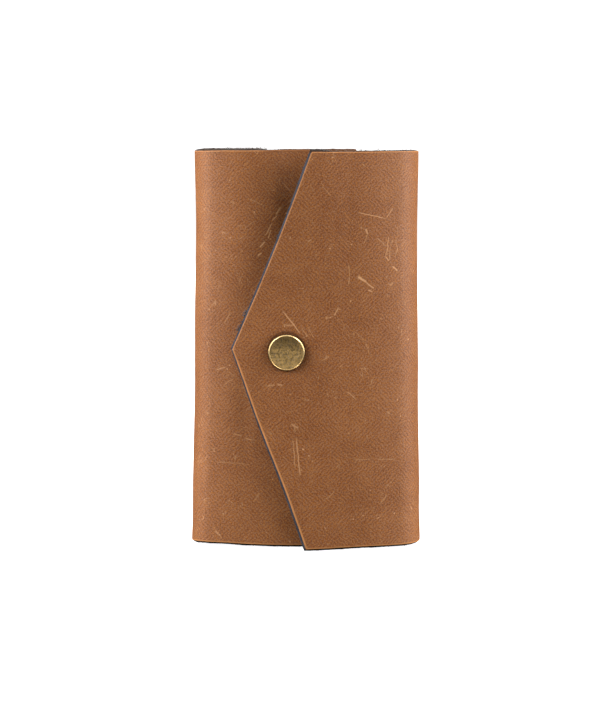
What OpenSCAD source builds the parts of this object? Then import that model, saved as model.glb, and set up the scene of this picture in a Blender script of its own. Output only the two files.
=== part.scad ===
// A trifold leather key case. It stands on its lower cut edges, with its front towards -Y.
// One sheet of leather makes the back, two round folds, an under flap and a pointed front flap.
// A snap button holds the flaps shut over a row of swivelling key hooks.

/* [Case] */
// Height of the leather
body_h = 108; // [96:1:120]
// Width across the two folds
body_w = 62; // [60:0.5:66]
// Thickness of the leather
leather_t = 1.7; // [1.4:0.1:2]
// Outer radius of the left fold
left_fold_r = 8; // [7.5:0.1:9]
// Angle by which each fold stops short of half a turn
fold_ease = 20; // [18:1:22]
// Slit between the leather strips of a fold
fold_slit = 0.1; // [0.05:0.05:0.2]

/* [Flaps] */
// Free edge of the under flap, right of the middle
under_edge_x = 13.8; // [8:0.1:15]
// Point of the front flap, left of the middle
flap_point_x = 21; // [17:0.5:22]
// Height of the point above the lower edge
flap_point_z = 55; // [45:0.5:65]
// Upper corner of the front flap, right of the middle
flap_top_x = 3; // [0:0.5:8]
// Lower corner of the front flap, left of the middle
flap_bottom_x = 0.5; // [-4:0.5:4]
// Radius to which the pointed end curls in
flap_curl_r = 42; // [40:1:60]

/* [Snap] */
// Axis of the snap, left of the middle
snap_x = 5.5; // [4:0.5:7]
// Height of the snap above the lower edge
snap_z = 54.6; // [48:0.2:60]
// Depth to which the snap's parts are pressed into the leather
snap_sink = 0.35; // [0.25:0.05:0.4]
// Diameter of the cap
cap_d = 10; // [9:0.1:12]
// Height of the cap's rim
cap_h = 1.2; // [1:0.1:1.6]
// Width of the cap's rim
cap_rim = 0.6; // [0.4:0.1:1]
// Depth of the dish inside the rim
cap_dish = 0.55; // [0.3:0.05:0.7]
// Diameter of the cap's post
cap_post_d = 3.2; // [2.8:0.1:3.6]
// Diameter of the socket
socket_d = 9.2; // [8.8:0.1:9.6]
// Height of the socket
socket_h = 1.9; // [1.8:0.1:2.2]
// Thickness of the socket's floor
socket_floor = 0.3; // [0.2:0.05:0.35]
// Diameter of the socket's mouth
socket_mouth_d = 5.8; // [5.7:0.1:6.4]
// Wire of the spring ring in the socket
spring_wire = 0.6; // [0.4:0.05:0.6]
// Angle left open in the spring ring
spring_gap = 100; // [90:5:120]
// Diameter of the stud's base
stud_base_d = 7.4; // [7:0.1:8]
// Thickness of the stud's base
stud_base_t = 0.5; // [0.4:0.05:0.6]
// Diameter of the stud's nub
nub_d = 3.4; // [3.2:0.1:3.6]
// Height of the nub above the stud's base
nub_h = 1.5; // [1.3:0.05:1.5]
// Diameter of the stud's post
stud_post_d = 1.7; // [1.4:0.1:2]
// Play between the closed socket and the stud's base
snap_play = 0.36; // [0.3:0.02:0.5]

/* [Key rail] */
// Length of the rail
rail_w = 42; // [40:0.5:43]
// Sheet metal of the rail
rail_t = 0.7; // [0.6:0.05:0.8]
// Depth of the rail's channel
channel_d = 4.6; // [4.5:0.1:5]
// Room behind the channel, in which the hooks can turn
channel_gap = 1.3; // [1.2:0.1:2]
// Height of the rail's channel
channel_h = 5; // [4.5:0.1:6]
// Height of the plate above the channel
plate_h = 7.2; // [6.5:0.1:8]
// Radius of the plate's upper corners
plate_corner_r = 2; // [1:0.1:3]
// Leather left above the rail
rail_top_gap = 6; // [4:0.5:10]
// Diameter of the rivet caps on the back
rivet_cap_d = 7; // [6:0.1:8]
// Height of the rivet caps
rivet_cap_h = 0.9; // [0.7:0.05:1.2]
// Diameter of the rivets' heads on the rail
rivet_head_d = 5.2; // [4.6:0.1:5.6]
// Thickness of the rivets' heads
rivet_head_t = 0.6; // [0.4:0.05:0.8]
// Diameter of the rivets' shanks
rivet_shank_d = 3; // [2.6:0.1:3.2]

/* [Hooks] */
// Number of key hooks
hook_count = 6; // [4:1:6]
// Distance from hook to hook
hook_pitch = 6.8; // [6.7:0.05:7]
// Length of a hook below the rail
hook_len = 20; // [18:0.5:26]
// Width of a hook
hook_w = 6.2; // [6:0.05:6.3]
// Thickness of a hook's metal
hook_t = 1.4; // [1.2:0.05:1.6]
// Width of the bar that a hook is bent from
hook_bar = 1.5; // [1.4:0.05:1.6]
// Diameter of a swivel's stem
stem_d = 1.9; // [1.6:0.05:2]
// Diameter of a swivel's two heads
stem_head_d = 3; // [2.7:0.05:3]
// Thickness of a gate's strip
gate_t = 0.5; // [0.4:0.05:0.55]

/* [Hidden] */
$fn = 96;
over = 1;
facet = 1.2;
half_w = body_w / 2;
fold_turn = 180 - fold_ease;
link_turn = fold_turn / 4;
half_ease_slope = tan(fold_ease / 2);
strip_names = ["rear", "middle", "front"];

// The closed snap sets the gap between the flaps, and the gap sets the right fold.
flap_gap = socket_h + stud_base_t + snap_play - 2 * snap_sink;
under_depth = 2 * left_fold_r + (half_w - left_fold_r - snap_x) * half_ease_slope;
flap_depth = under_depth + flap_gap + leather_t;
right_fold_r = (flap_depth - (half_w + snap_x) * half_ease_slope) / (2 - half_ease_slope);
back_y = (rivet_cap_h + flap_depth + cap_h) / 2 - rivet_cap_h;
back_inner_y = back_y - leather_t;
left_fold = [left_fold_r - half_w, back_y - left_fold_r];
right_fold = [half_w - right_fold_r, back_y - right_fold_r];
under_r = left_fold_r + (-snap_x - left_fold.x) / sin(fold_ease);
flap_r = right_fold_r + (right_fold.x + snap_x) / sin(fold_ease);
under_y = back_y - under_depth;
flap_y = back_y - flap_depth;

// Clearances and holes of the snap
snap_fit = 0.05;
leather_hole_fit = 0.1;
flare_t = 0.2;
flare_over = 0.5;
cap_post_hole_d = cap_post_d + 2 * leather_hole_fit;
recess_fit = 0.2;
nub_round = 0.5;

// Clearances of the rail, the swivels and the gates
run_fit = 0.08;
seat_fit = 0.05;
hang_gap = 0.1;
stem_head_t = 0.9;
stem_foot_t = 0.6;
collar_t = 1;
collar_rim = 0.8;
window_h = 1.3;
window_side = 0.15;
tip_rise = 3.5;
gate_roll_d = 1.2;
gate_roll_inset = 0.8;
gate_lap = 0.8;
gate_side = 0.2;
gate_clear = 0.1;
rivet_inset = 3.5;
rivet_tip_d = 1.9;
rivet_tip_len = 0.45;
rail_x = (left_fold.x + right_fold.x) / 2;
channel_z = body_h - rail_top_gap - plate_h - channel_h;
rail_d = channel_gap + channel_d;
stem_y = back_inner_y - channel_gap - channel_d / 2;
rivet_z = channel_z + channel_h + plate_h / 2;

// Where an arc [centre, outer radius, from, to] is at an angle, inset from its outside
function on_arc(arc, angle, inset) = arc[0] + (arc[1] - inset) * [cos(angle), sin(angle)];

// One side of a sheet that runs along a list of such arcs, each of which starts where the last one
// ends or is joined to it by a straight stretch
function sheet_side(arcs, inset) = [
    for (j = [0 : len(arcs) - 1])
        let (
            from = arcs[j][2],
            turn = arcs[j][3] - from,
            flats = ceil(abs(turn) * PI / 180 * arcs[j][1] / facet),
            jump = j == 0 ? facet : norm(on_arc(arcs[j], from, 0) - on_arc(arcs[j - 1], arcs[j - 1][3], 0))
        )
        for (i = [(jump < facet / 2 ? 1 : 0) : flats])
            on_arc(arcs[j], from + turn * i / flats, inset)
];

function reversed(points) = [for (i = [len(points) - 1 : -1 : 0]) points[i]];

// A piece of bent leather, as high as the case
module leather(arcs) {
    linear_extrude(body_h)
        polygon(concat(sheet_side(arcs, 0), reversed(sheet_side(arcs, leather_t))));
}

// Angle that half a slit takes on a fold of radius r
function slit_angle(r) = fold_slit / 2 / r * 180 / PI;

// A point on the snap's axis, with its +Z out of the front
module on_snap_axis(y) {
    translate([-snap_x, y, snap_z])
        rotate([90, 0, 0])
            children();
}

module back_panel() {
    color([0.55, 0.37, 0.24])
        difference() {
            leather([
                [right_fold, right_fold_r, 90 - link_turn / 2 + slit_angle(right_fold_r), 90],
                [left_fold, left_fold_r, 90, 90 + link_turn / 2 - slit_angle(left_fold_r)]
            ]);
            at_rivets()
                cylinder(d = rivet_shank_d + 2 * leather_hole_fit, h = 2 * (leather_t + over), center = true);
        }
}

// Strip number k of a fold, counted from the back; side is -1 on the left and 1 on the right
module fold_strip(side, k) {
    c = side < 0 ? left_fold : right_fold;
    r = side < 0 ? left_fold_r : right_fold_r;
    from = link_turn * (k + 0.5) + slit_angle(r);
    to = link_turn * (k + 1.5) - slit_angle(r);
    color([0.58, 0.39, 0.25])
        leather([[c, r, 90 - side * from, 90 - side * to]]);
}

// Outline of the front flap seen from the front: two straight cuts that meet in a blunt point
module flap_outline() {
    translate([0, over])
        rotate([90, 0, 0])
            linear_extrude(body_w + 2 * over, center = true)
                polygon([
                    [body_w, -over],
                    [-flap_bottom_x, -over],
                    [-flap_bottom_x, 0],
                    [-flap_point_x, flap_point_z],
                    [flap_top_x, body_h],
                    [flap_top_x, body_h + over],
                    [body_w, body_h + over]
                ]);
}

module front_flap() {
    curl_turn = asin((flap_point_x - snap_x + leather_t) / flap_curl_r);
    color([0.6, 0.41, 0.26])
        difference() {
            intersection() {
                leather([
                    [right_fold, right_fold_r,
                        90 - fold_turn + link_turn / 2 - slit_angle(right_fold_r), 90 - fold_turn],
                    [[-snap_x, flap_y + flap_r], flap_r, fold_ease - 90, -90],
                    [[-snap_x, flap_y + flap_curl_r], flap_curl_r, -90, -90 - curl_turn]
                ]);
                flap_outline();
            }
            on_snap_axis(flap_y)
                cylinder(d = cap_post_hole_d, h = 2 * (leather_t + over), center = true);
            on_snap_axis(flap_y + 2 * leather_t)
                cylinder(d = socket_d + recess_fit, h = leather_t + snap_sink);
        }
}

module under_flap() {
    edge_turn = asin((under_edge_x + snap_x) / under_r);
    color([0.5, 0.34, 0.22])
        difference() {
            leather([
                [left_fold, left_fold_r,
                    90 + fold_turn - link_turn / 2 + slit_angle(left_fold_r), 90 + fold_turn],
                [[-snap_x, under_y + under_r], under_r, 270 - fold_ease, 270 + edge_turn]
            ]);
            on_snap_axis(under_y)
                cylinder(d = stud_post_d + 2 * leather_hole_fit, h = 2 * (leather_t + over), center = true);
            on_snap_axis(under_y + snap_sink)
                cylinder(d = stud_base_d + recess_fit, h = leather_t + snap_sink);
            on_snap_axis(under_y + 2 * leather_t)
                cylinder(d = stud_base_d + recess_fit, h = leather_t + snap_sink);
        }
}

// The cap is a dished disc with a round rim; its post runs through the flap and is flared in the socket.
module snap_cap() {
    rim_r = cap_rim / 2;
    dish_r = cap_d / 2 - cap_rim;
    post_len = leather_t - snap_sink + socket_floor;
    color([0.62, 0.5, 0.28])
        on_snap_axis(flap_y) {
            rotate_extrude()
                polygon(concat(
                    [[0, 0], [cap_d / 2, 0]],
                    [for (a = [0 : 15 : 180])
                        [cap_d / 2 - rim_r + rim_r * cos(a), cap_h - rim_r + rim_r * sin(a)]],
                    [for (s = [1 : -0.1 : 0])
                        [dish_r * s, cap_h - cap_dish + (cap_dish - rim_r) * s * s]]
                ));
            mirror([0, 0, 1]) {
                cylinder(d = cap_post_d, h = post_len + flare_t);
                translate([0, 0, post_len])
                    cylinder(d = cap_post_d + 2 * flare_over, h = flare_t);
            }
        }
}

module snap_socket() {
    color([0.7, 0.58, 0.34])
        on_snap_axis(flap_y + leather_t - snap_sink + socket_h)
            difference() {
                rotate_extrude()
                    polygon([
                        [0, 0],
                        [socket_d / 2 - cap_rim, 0],
                        [socket_d / 2, cap_rim],
                        [socket_d / 2, socket_h],
                        [0, socket_h]
                    ]);
                translate([0, 0, -over])
                    cylinder(d = socket_mouth_d, h = over + socket_h - socket_floor);
                cylinder(d = cap_post_d + 2 * snap_fit, h = socket_h + over);
            }
}

// An open ring of wire that grips the nub
module snap_spring() {
    ring_r = (socket_mouth_d - spring_wire) / 2 - snap_fit;
    color([0.75, 0.75, 0.74])
        on_snap_axis(flap_y + leather_t - snap_sink + socket_h - spring_wire)
            rotate([0, 0, 180 + spring_gap / 2])
                rotate_extrude(angle = 360 - spring_gap)
                    translate([ring_r, 0])
                        circle(d = spring_wire, $fn = 24);
}

module snap_stud() {
    color([0.7, 0.58, 0.34])
        on_snap_axis(under_y + snap_sink)
            difference() {
                union() {
                    cylinder(d = stud_base_d, h = stud_base_t);
                    rotate_extrude()
                        polygon(concat(
                            [[0, 0], [nub_d / 2, 0]],
                            [for (a = [0 : 15 : 90])
                                [nub_d / 2 - nub_round + nub_round * cos(a),
                                    stud_base_t + nub_h - nub_round + nub_round * sin(a)]],
                            [[0, stud_base_t + nub_h]]
                        ));
                }
                cylinder(d = stud_post_d + 2 * snap_fit, h = 3 * (stud_base_t + nub_h), center = true);
            }
}

// The eyelet that is pushed through the under flap from behind and flared inside the nub
module snap_stud_post() {
    color([0.75, 0.75, 0.74])
        on_snap_axis(under_y + leather_t - snap_sink + stud_base_t) {
            cylinder(d = stud_base_d, h = stud_base_t);
            cylinder(d = stud_post_d, h = leather_t - 2 * snap_sink + stud_base_t + stud_base_t + nub_h - snap_fit);
        }
}

// The rail is one piece of sheet metal: a plate that is riveted to the back, and a closed channel.
module key_rail() {
    color([0.72, 0.72, 0.71])
        difference() {
            intersection() {
                translate([rail_x, back_inner_y, channel_z])
                    rotate([90, 0, -90])
                        linear_extrude(rail_w, center = true)
                            rail_profile();
                rail_outline();
            }
            at_rivets()
                cylinder(d = rivet_shank_d + 2 * leather_hole_fit, h = 2 * rail_d, center = true);
            for (i = [1 : hook_count])
                at_hook(i)
                    cylinder(d = stem_d + 2 * run_fit, h = 2 * over, center = true);
        }
}

// End view of the rail: the plate bends forward over the channel, and the sheet closes behind it
module rail_profile() {
    translate([0, channel_h - rail_t])
        square([rail_t, plate_h + rail_t]);
    translate([0, channel_h - rail_t])
        square([rail_d, rail_t]);
    translate([channel_gap, 0])
        difference() {
            square([channel_d, channel_h]);
            translate([rail_t, rail_t])
                square([channel_d - 2 * rail_t, channel_h - 2 * rail_t]);
        }
}

// Front view of the rail, with its upper corners rounded
module rail_outline() {
    top = channel_h + plate_h;
    translate([rail_x, back_y, channel_z])
        rotate([90, 0, 0])
            linear_extrude(leather_t + rail_d + over) {
                translate([-rail_w / 2, 0])
                    square([rail_w, top - plate_corner_r]);
                translate([plate_corner_r - rail_w / 2, 0])
                    square([rail_w - 2 * plate_corner_r, top]);
                for (s = [-1, 1])
                    translate([s * (rail_w / 2 - plate_corner_r), top - plate_corner_r])
                        circle(r = plate_corner_r);
            }
}

// The two rivets' axes, with +Z out of the back, on the leather's inner face
module at_rivets() {
    for (s = [-1, 1])
        translate([rail_x + s * (rail_w / 2 - rivet_inset), back_inner_y, rivet_z])
            rotate([-90, 0, 0])
                children();
}

module rail_rivet_caps() {
    lip = rivet_cap_h / 3;
    color([0.7, 0.58, 0.34])
        at_rivets()
            translate([0, 0, leather_t])
                difference() {
                    rotate_extrude()
                        polygon(concat(
                            [[0, 0], [rivet_cap_d / 2, 0]],
                            [for (s = [1 : -0.1 : 0])
                                [rivet_cap_d / 2 * s, lip + (rivet_cap_h - lip) * (1 - s * s)]]
                        ));
                    cylinder(d = rivet_tip_d + 2 * snap_fit, h = 2 * (rivet_tip_len + snap_fit), center = true);
                }
}

module rail_rivet_posts() {
    color([0.75, 0.75, 0.74])
        at_rivets() {
            translate([0, 0, -rail_t - rivet_head_t])
                cylinder(d = rivet_head_d, h = rivet_head_t);
            translate([0, 0, -rail_t])
                cylinder(d = rivet_shank_d, h = rail_t + leather_t);
            cylinder(d = rivet_tip_d, h = leather_t + rivet_tip_len);
        }
}

// The axis of hook i, level with the underside of the rail
module at_hook(i) {
    translate([rail_x + (i - (hook_count + 1) / 2) * hook_pitch, stem_y, channel_z])
        children();
}

// The stem hangs from its upper head in the channel; its foot is riveted over inside the hook.
module swivel(i) {
    foot_z = -hang_gap - collar_t - stem_foot_t;
    head_z = rail_t + seat_fit;
    color([0.75, 0.75, 0.74])
        at_hook(i) {
            translate([0, 0, head_z])
                cylinder(d = stem_head_d, h = stem_head_t);
            translate([0, 0, foot_z])
                cylinder(d = stem_d, h = head_z - foot_z + stem_head_t);
            translate([0, 0, foot_z])
                cylinder(d = stem_head_d, h = stem_foot_t);
        }
}

window_w = stem_head_d / 2 + window_side;
collar_z = -hang_gap - collar_t;
bar_top_z = collar_z - window_h;
bar_low_z = bar_top_z - hook_bar;
bow_z = hook_w / 2 - hook_len;
bow_in_r = hook_w / 2 - hook_bar;
gate_pin = [hook_w / 2 - gate_roll_inset, bar_low_z - gate_roll_inset / 2];
gate_end = [bow_in_r - gate_clear - gate_t / 2 - gate_side, bow_z + tip_rise - gate_lap];

// Front view of a hook: the window round the stem's foot, the bar, the shank, the bow and the tip
module hook_outline() {
    difference() {
        union() {
            for (s = [-1, 1])
                translate([s * (window_w + collar_rim / 2), (collar_z + bar_top_z) / 2])
                    square([collar_rim, window_h], center = true);
            translate([-hook_w / 2, bar_low_z])
                square([hook_w, hook_bar]);
            translate([-hook_w / 2, bow_z])
                square([hook_bar, bar_low_z - bow_z]);
            translate([bow_in_r, bow_z])
                square([hook_bar, tip_rise - hook_bar / 2]);
            translate([bow_in_r + hook_bar / 2, bow_z + tip_rise - hook_bar / 2])
                circle(d = hook_bar);
            difference() {
                translate([0, bow_z])
                    circle(d = hook_w);
                translate([0, bow_z])
                    circle(r = bow_in_r);
                translate([-hook_w, bow_z])
                    square([2 * hook_w, hook_w]);
            }
        }
        translate(gate_pin)
            circle(d = gate_roll_d + 2 * run_fit);
    }
}

module hook(i) {
    color([0.74, 0.73, 0.71])
        at_hook(i) {
            rotate([90, 0, 0])
                linear_extrude(hook_t, center = true)
                    hook_outline();
            translate([0, 0, collar_z])
                difference() {
                    cylinder(r = window_w + collar_rim, h = collar_t);
                    cylinder(d = stem_d + snap_fit, h = 3 * collar_t, center = true);
                }
        }
}

// A sprung strip with a rolled upper end; its lower end rests inside the hook's tip.
module gate(i) {
    reach = gate_end - gate_pin;
    color([0.76, 0.76, 0.75])
        at_hook(i)
            rotate([90, 0, 0])
                linear_extrude(hook_t - 2 * gate_clear, center = true) {
                    translate(gate_pin) {
                        circle(d = gate_roll_d);
                        rotate([0, 0, atan2(reach.y, reach.x)])
                            translate([0, -gate_t / 2])
                                square([norm(reach), gate_t]);
                    }
                }
}

back_panel();
front_flap();
under_flap();
for (k = [0 : 2]) {
    fold_strip(1, k);
    fold_strip(-1, k);
}
snap_cap();
snap_socket();
snap_spring();
snap_stud();
snap_stud_post();
key_rail();
rail_rivet_caps();
rail_rivet_posts();
for (i = [1 : hook_count]) {
    swivel(i);
    hook(i);
    gate(i);
}
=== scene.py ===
import math
import random

import bpy
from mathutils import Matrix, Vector, noise


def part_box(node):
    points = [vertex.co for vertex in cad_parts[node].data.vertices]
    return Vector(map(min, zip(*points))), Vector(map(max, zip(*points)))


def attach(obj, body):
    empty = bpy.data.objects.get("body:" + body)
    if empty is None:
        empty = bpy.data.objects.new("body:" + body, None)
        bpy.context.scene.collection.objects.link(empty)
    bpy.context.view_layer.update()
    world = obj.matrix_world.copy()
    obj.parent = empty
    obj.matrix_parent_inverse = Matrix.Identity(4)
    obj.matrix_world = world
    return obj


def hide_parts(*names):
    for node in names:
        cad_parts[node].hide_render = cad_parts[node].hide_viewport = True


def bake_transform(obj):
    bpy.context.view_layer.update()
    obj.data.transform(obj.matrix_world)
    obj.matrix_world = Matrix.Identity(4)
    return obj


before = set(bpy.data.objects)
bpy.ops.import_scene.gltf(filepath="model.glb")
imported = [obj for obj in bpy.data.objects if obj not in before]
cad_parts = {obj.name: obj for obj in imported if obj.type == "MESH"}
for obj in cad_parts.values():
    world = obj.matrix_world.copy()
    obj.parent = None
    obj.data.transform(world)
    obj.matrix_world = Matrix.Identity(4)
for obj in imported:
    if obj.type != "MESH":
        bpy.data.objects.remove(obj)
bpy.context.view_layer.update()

# The sheet
# The case is one sheet of waxed cowhide, single and unlined. It lies flat behind the key rail
# and runs round two open folds, and its two ends close over each other at the front. Places on
# it are measured flat: the distance from the middle of the back, the height, and the depth.
mm = 0.001
leather_thick = 1.7 * mm
fold_ease = math.radians(20)
fold_turn = math.pi - fold_ease
curl_radius = 85 * mm

back_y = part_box("back_panel")[1].y
body_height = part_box("back_panel")[1].z
half_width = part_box("right_fold_middle")[1].x
flap_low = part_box("front_flap")[0]
under_low, under_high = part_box("under_flap")
cap_low, cap_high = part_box("snap_cap")
snap_x = (cap_low.x + cap_high.x) / 2
snap_z = (cap_low.z + cap_high.z) / 2
longest_flap = half_width * 2.5
past_any_edge = half_width * 4


def fold_radius(reach, peak_y):
    """The radius of a fold whose flap runs on tangent to it and stands furthest out at the snap."""
    rise = math.tan(fold_ease / 2)
    return (back_y - peak_y - reach * rise) / (2 - rise)


def sheet_way(reach, peak_y, last_radius=None):
    """The stretches of one half of the sheet, as lengths and radii: back, fold, flap, free end."""
    fold = fold_radius(reach, peak_y)
    flap = fold + (reach - fold) / math.sin(fold_ease)
    return [
        (half_width - fold, 0),
        (fold_turn * fold, fold),
        (fold_ease * flap, flap),
        (past_any_edge, last_radius or flap),
    ]


RIGHT = 1
LEFT = -1
ways = {
    RIGHT: sheet_way(half_width - snap_x, flap_low.y, curl_radius),
    LEFT: sheet_way(half_width + snap_x, under_low.y),
}


def walk(side, s):
    """The place on the grain side at the distance s from the middle of the back, and its heading."""
    x, y, heading = 0.0, back_y, 0.0
    for length, radius in ways[side]:
        step = min(s, length)
        turned = heading + (step / radius if radius else 0)
        if radius:
            x += radius * (math.sin(turned) - math.sin(heading))
            y += radius * (math.cos(turned) - math.cos(heading))
        else:
            x += step * math.cos(heading)
            y -= step * math.sin(heading)
        heading = turned
        s -= step
        if s <= 0:
            break
    return side * x, y, heading


def fold_line(side, degrees):
    """The distance of a line that many degrees round a fold."""
    flat, fold = ways[side][0][0], ways[side][1][1]
    return flat + fold * math.radians(degrees)


def flap_start(side):
    """The distance at which a fold ends and its flap goes on."""
    return fold_line(side, math.degrees(fold_turn))


def distance_of(side, x):
    """The distance at which a flap reaches that x, found by halving."""
    near = flap_start(side)
    far = near + longest_flap
    halvings = 40
    for _ in range(halvings):
        middle = (near + far) / 2
        if side * (walk(side, middle)[0] - x) > 0:
            near = middle
        else:
            far = middle
    return (near + far) / 2


def ramp(value, low, high):
    """A smooth step from 0 at low to 1 at high."""
    t = min(1, max(0, (value - low) / (high - low)))
    return t * t * (3 - 2 * t)


def through(points, at):
    """A smooth line through given points."""
    for (a, low), (b, high) in zip(points, points[1:]):
        if at <= b:
            return low + (high - low) * ramp(at, a, b)
    return points[-1][1]


# The hide is not cut or folded quite true, so its foot and its head wander by under a millimetre.
foot_line = {
    RIGHT: [(0, 0.5 * mm), (33 * mm, 0.25 * mm), (55 * mm, 0.55 * mm), (75 * mm, 0.15 * mm)],
    LEFT: [(0, 0.5 * mm), (34 * mm, 0), (44 * mm, 0.8 * mm), (49 * mm, 0.92 * mm), (57 * mm, 0.72 * mm),
           (70 * mm, 0.58 * mm)],
}
head_line = {
    RIGHT: [(0, 108.2 * mm), (8 * mm, 108.1 * mm), (30 * mm, 108.2 * mm), (38 * mm, 108.8 * mm),
            (44 * mm, 108.85 * mm), (60 * mm, 108.75 * mm)],
    LEFT: [(0, 108.2 * mm), (8 * mm, 108.3 * mm), (13.5 * mm, 109.1 * mm), (30 * mm, 109.1 * mm),
           (38 * mm, 108.7 * mm), (50 * mm, 108.9 * mm), (60 * mm, 108.9 * mm), (66 * mm, 109.1 * mm)],
}
# The folds wander too: this is how far out each stands at a height, or how far in where it is negative.
fold_lean = {
    RIGHT: [(0, 0.45 * mm), (12 * mm, 0.16 * mm), (45 * mm, -0.26 * mm), (86 * mm, -0.78 * mm),
            (108 * mm, -0.5 * mm)],
    LEFT: [(0, 1.0 * mm), (8 * mm, 0.8 * mm), (50 * mm, -0.15 * mm), (88 * mm, -0.57 * mm),
           (108 * mm, -0.3 * mm)],
}


def spread(x, z):
    """How far the sheet is shifted sideways where the folds lean out at the foot and in at the waist."""
    share = (x + half_width) / (2 * half_width)
    return through(fold_lean[RIGHT], z) * share - through(fold_lean[LEFT], z) * (1 - share)


corner_lift = 1.9 * mm
corner_sink = 2.7 * mm
snap_dent = 0.16 * mm
knuckle = 0.8 * mm
knuckle_x = -19 * mm
hollow_depth = 1.4 * mm


def ripple(side, s, z, height, wide, high, layer):
    """An uneven ripple of the sheet, by the height, width and height up the sheet of its waves."""
    return height * noise.noise(Vector((side * s / wide, z / high, layer)))


def belly(side, x, z):
    """How far a flap's side bellies out, from its fold inward."""
    upper = ramp(z, 62 * mm, 92 * mm)
    rise, reach = (0.5, 18) if side == RIGHT else (0.36 + 0.38 * upper, 13 + 11 * upper)
    rise *= 0.6 + 0.4 * ramp(z, 10 * mm, 45 * mm)
    inward = half_width - abs(x)
    return rise * mm * math.sin(math.pi * min(1, max(0, (inward / mm - 1.5) / reach)))


def swell(side, s, z):
    """How far use has pushed the sheet outward there."""
    out = ripple(side, s, z, 0.17 * mm, 26 * mm, 33 * mm, 1.7)
    out += ripple(side, s, z, 0.045 * mm, 8 * mm, 9 * mm, 5.3)
    loosens = fold_line(side, 150)
    past_fold = ramp(s, loosens, loosens + 30 * mm)
    x = walk(side, s)[0]
    front_half = s > fold_line(side, 90)
    if front_half:
        out += belly(side, x, z)
    if side == RIGHT:
        out += corner_lift * past_fold * ramp(z, 60 * mm, body_height) ** 1.1
        out += 0.2 * mm * past_fold * ramp(z, 40 * mm, 0)
        if past_fold:
            from_snap = math.hypot(x - snap_x, z - snap_z)
            out -= snap_dent * (1 - ramp(from_snap, 4.6 * mm, 6.6 * mm))
    else:
        out -= corner_sink * past_fold * ramp(z, 58 * mm, body_height * 0.95)
        out += 0.05 * mm * past_fold * ramp(z, 40 * mm, 0)
        from_knuckle = math.hypot((x - knuckle_x) / 12, (z - snap_z) / 24) / mm
        out += knuckle * past_fold * ramp(from_knuckle, 1, 0)
        hollow = ramp(z, 78 * mm, 95 * mm) * (1 - 0.5 * ramp(z, 98 * mm, body_height))
        out -= hollow_depth * hollow * ramp(x, -9.3 * mm, -1 * mm)
    return out


def place(side, s, z, depth):
    """The point of the sheet at a flat distance and height, and a depth under the grain side."""
    x, y, heading = walk(side, s)
    out = swell(side, s, z) - depth
    x += side * out * math.sin(heading)
    y += out * math.cos(heading)
    half = side if s > 0 else -side
    foot = through(foot_line[half], abs(s))
    head = through(head_line[half], abs(s))
    return Vector((x + spread(x, z), y, foot + (head - foot) * z / body_height))


# Leather
# Each piece of the sheet is a grid on the grain side, a grid on the flesh side, and a leaning
# cut edge between them, as the press knife leaves it. The pieces meet halfway between two of
# the fold's hinge lines, so that each spans one joint only.
cut_lean = 0.5 * mm
head_lean = 0.15 * mm
# The cut's profile: a depth under the grain side, and how far out the cut stands there, in millimetres.
cut_profile = [
    (0.03, -0.13), (0.11, -0.03), (0.3, 0.12), (0.7, 0.36),
    (1.15, 0.55), (1.45, 0.6), (1.64, 0.5), (1.7, 0.2),
]
grain_rim = -0.24 * mm


def spaced(start, end, step):
    """Even steps from start up to, and without, end."""
    count = max(1, round(abs(end - start) / step))
    return [start + (end - start) * k / count for k in range(count)]


# Rows and columns crowd at the rims, at the front flap's point and beside the seams.
flap_point_z = 55 * mm
rim_steps = [0.55, 0.85, 1.2, 1.7]
past_rim = 2.9 * mm
row_gap = 0.85 * mm
point_row_gap = 0.5 * mm
rows = [cut_lean] + [cut_lean + step * mm for step in rim_steps]
rows += spaced(past_rim, 45 * mm, row_gap)
rows += spaced(45 * mm, flap_point_z, point_row_gap)
rows += spaced(flap_point_z, 64 * mm, point_row_gap)
rows += spaced(64 * mm, body_height - past_rim, row_gap) + [body_height - past_rim]
rows += [body_height - head_lean - step * mm for step in reversed(rim_steps)] + [body_height - head_lean]
seam_near = [0.15 * mm, 0.4 * mm, 0.8 * mm]
past_seam = 1.3 * mm
column_gap = 0.6 * mm


def seam_steps(start, end):
    """Columns between two seams, close together beside each seam."""
    first = [start] + [start + near for near in seam_near]
    middle = spaced(start + past_seam, end - past_seam, column_gap) + [end - past_seam]
    return first + middle + [end - near for near in reversed(seam_near)] + [end]


def mitre(before, here, after):
    """The outward offset of an outline's point, worked out from the edges on its two sides."""
    normals = []
    for a, b in ((before, here), (here, after)):
        if a is not None and b is not None:
            edge = (b[0] - a[0], b[1] - a[1])
            size = math.hypot(*edge)
            normals.append((edge[1] / size, -edge[0] / size))
    if len(normals) == 1:
        return normals[0]
    (ax, az), (bx, bz) = normals
    share = 1 / (1 + ax * bx + az * bz)
    return (ax + bx) * share, (az + bz) * share


def cut_reach(depth):
    """How far out the cut stands at a depth, in millimetres."""
    for (low, near), (high, far) in zip(cut_profile, cut_profile[1:]):
        if depth <= high:
            return near + (far - near) * (depth - low) / (high - low)
    return cut_profile[-1][1]


def lean_share(side, s, z, offset):
    """How much of the lean a cut has. The head was cut square, but has turned out at the flap's corner."""
    x = walk(side, s)[0]
    turned_out = ramp(x, 7 * mm, 4 * mm) if side == RIGHT and s > flap_start(side) else 0
    upper = 0.25 * ramp(z, 62 * mm, 90 * mm) if side == RIGHT else 0
    return (1 - upper) * (1 - 0.9 * (1 - turned_out) * max(0, offset[1]) ** 1.2)


def head_slant(side, offset, depth):
    """How far back a cut lies at a depth: the knife leaned at the head, so its front edge is lower."""
    slant = 0.2 if side == RIGHT else 0.08
    return slant * mm * max(0, offset[1]) ** 3 * (1 - depth * mm / leather_thick)


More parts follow.
